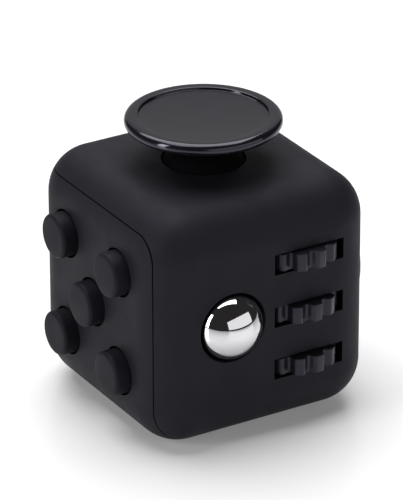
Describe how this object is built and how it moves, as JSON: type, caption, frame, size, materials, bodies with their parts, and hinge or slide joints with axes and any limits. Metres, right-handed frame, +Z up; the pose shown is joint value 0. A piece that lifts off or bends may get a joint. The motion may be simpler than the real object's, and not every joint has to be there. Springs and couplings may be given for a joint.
{
  "type": "fidget cube",
  "caption": "Pocket fidget cube with a tilting joystick, press buttons, thumb wheels, a rolling ball, a flip switch, a spinning dial and a thumb dish.",
  "frame": {"origin": "centre of the face the cube stands on, which carries the thumb dish", "axes": "+Z up to the joystick, -Y towards the face with the thumb wheels and the ball, -X towards the push buttons, +X towards the dial, +Y towards the flip switch"},
  "size_m": [0.0372, 0.0388, 0.0392],
  "materials": {
    "casing_plastic": "soft-touch black",
    "button_plastic": "soft-touch black",
    "control_plastic": "satin black",
    "ball_chrome": "polished",
    "frame_plastic": "moulded black",
    "steel": "zinc plated",
    "board_laminate": "green laminate",
    "switch_plastic": "moulded black",
    "pad_rubber": "soft grey",
    "brass": "turned"
  },
  "bodies": {
    "casing": {"casing_top_front_right": "casing_plastic", "casing_left_bottom_back": "casing_plastic", "inner_frame": "frame_plastic", "axle_spacer_upper": "frame_plastic", "axle_spacer_lower": "frame_plastic", "ball_housing": "frame_plastic", "joystick_cradle": "frame_plastic", "rocker_housing": "frame_plastic", "frame_screw_1": "steel", "frame_screw_2": "steel", "frame_screw_3": "steel", "frame_screw_4": "steel", "board_screw_1": "steel", "board_screw_2": "steel", "button_spring_rear_upper": "steel", "button_spring_front_upper": "steel", "button_spring_centre": "steel", "button_spring_rear_lower": "steel", "button_spring_front_lower": "steel", "wheel_axle": "steel", "axle_clip": "steel", "ball_spring": "steel", "joystick_spring": "steel", "rocker_pin": "steel", "button_board": "board_laminate", "click_switch_rear_upper": "switch_plastic", "click_switch_centre": "switch_plastic", "click_switch_front_lower": "switch_plastic", "ball_click_switch": "switch_plastic", "silent_pad_front_upper": "pad_rubber", "silent_pad_rear_lower": "pad_rubber"},
    "rear_upper_button": {"button_rear_upper": "button_plastic"},
    "front_upper_button": {"button_front_upper": "button_plastic"},
    "centre_button": {"button_centre": "button_plastic"},
    "rear_lower_button": {"button_rear_lower": "button_plastic"},
    "front_lower_button": {"button_front_lower": "button_plastic"},
    "joystick_ring": {"gimbal_ring": "brass"},
    "joystick": {"joystick_stem": "steel", "joystick_dome": "control_plastic", "joystick_cap": "control_plastic"},
    "upper_wheel": {"thumb_wheel_upper": "control_plastic"},
    "middle_wheel": {"thumb_wheel_middle": "control_plastic"},
    "lower_wheel": {"thumb_wheel_lower": "control_plastic"},
    "plunger": {"ball_plunger": "frame_plastic"},
    "cup": {"ball_cup": "control_plastic"},
    "ball": {"steel_ball": "ball_chrome"},
    "flip_switch": {"rocker": "control_plastic", "rocker_detent_pin": "brass"},
    "spinner": {"dial": "control_plastic", "dial_washer": "steel", "dial_screw": "steel"}
  },
  "joints": [
    {"name": "press_rear_upper", "type": "slide", "parent": "casing", "child": "rear_upper_button", "axis": [1, 0, 0], "range_m": [0, 0.0008], "stiffness_N_per_m": 500, "deforming": ["button_spring_rear_upper"]},
    {"name": "press_front_upper", "type": "slide", "parent": "casing", "child": "front_upper_button", "axis": [1, 0, 0], "range_m": [0, 0.0008], "stiffness_N_per_m": 500, "deforming": ["button_spring_front_upper"]},
    {"name": "press_centre", "type": "slide", "parent": "casing", "child": "centre_button", "axis": [1, 0, 0], "range_m": [0, 0.0008], "stiffness_N_per_m": 500, "deforming": ["button_spring_centre"]},
    {"name": "press_rear_lower", "type": "slide", "parent": "casing", "child": "rear_lower_button", "axis": [1, 0, 0], "range_m": [0, 0.0008], "stiffness_N_per_m": 500, "deforming": ["button_spring_rear_lower"]},
    {"name": "press_front_lower", "type": "slide", "parent": "casing", "child": "front_lower_button", "axis": [1, 0, 0], "range_m": [0, 0.0008], "stiffness_N_per_m": 500, "deforming": ["button_spring_front_lower"]},
    {"name": "joystick_tilt_side", "type": "hinge", "parent": "casing", "child": "joystick_ring", "pos_m": [0, 0, 0.03], "axis": [1, 0, 0], "range_deg": [-15, 15], "stiffness_Nm_per_rad": 0.05, "deforming": ["joystick_spring"]},
    {"name": "joystick_tilt_fore", "type": "hinge", "parent": "joystick_ring", "child": "joystick", "pos_m": [0, 0, 0.03], "axis": [0, 1, 0], "range_deg": [-15, 15], "stiffness_Nm_per_rad": 0.05},
    {"name": "roll_upper_wheel", "type": "hinge", "parent": "casing", "child": "upper_wheel", "pos_m": [0.0061, -0.0125, 0.02409], "axis": [0, 0, 1], "continuous": true},
    {"name": "roll_middle_wheel", "type": "hinge", "parent": "casing", "child": "middle_wheel", "pos_m": [0.0061, -0.0125, 0.01662], "axis": [0, 0, 1], "continuous": true},
    {"name": "roll_lower_wheel", "type": "hinge", "parent": "casing", "child": "lower_wheel", "pos_m": [0.0061, -0.0125, 0.00915], "axis": [0, 0, 1], "continuous": true},
    {"name": "press_ball", "type": "slide", "parent": "casing", "child": "plunger", "axis": [0, 1, 0], "range_m": [0, 0.0009], "stiffness_N_per_m": 500, "deforming": ["ball_spring"]},
    {"name": "turn_cup", "type": "hinge", "parent": "plunger", "child": "cup", "pos_m": [-0.00546, -0.0147, 0.01681], "axis": [0, 1, 0], "continuous": true},
    {"name": "roll_ball", "type": "hinge", "parent": "cup", "child": "ball", "pos_m": [-0.00546, -0.0147, 0.01681], "axis": [1, 0, 0], "continuous": true},
    {"name": "flip", "type": "hinge", "parent": "casing", "child": "flip_switch", "pos_m": [0, 0.0136, 0.0165], "axis": [1, 0, 0], "range_deg": [0, 24]},
    {"name": "spin_dial", "type": "hinge", "parent": "casing", "child": "spinner", "pos_m": [0.0165, 0, 0.0165], "axis": [1, 0, 0], "continuous": true}
  ]
}
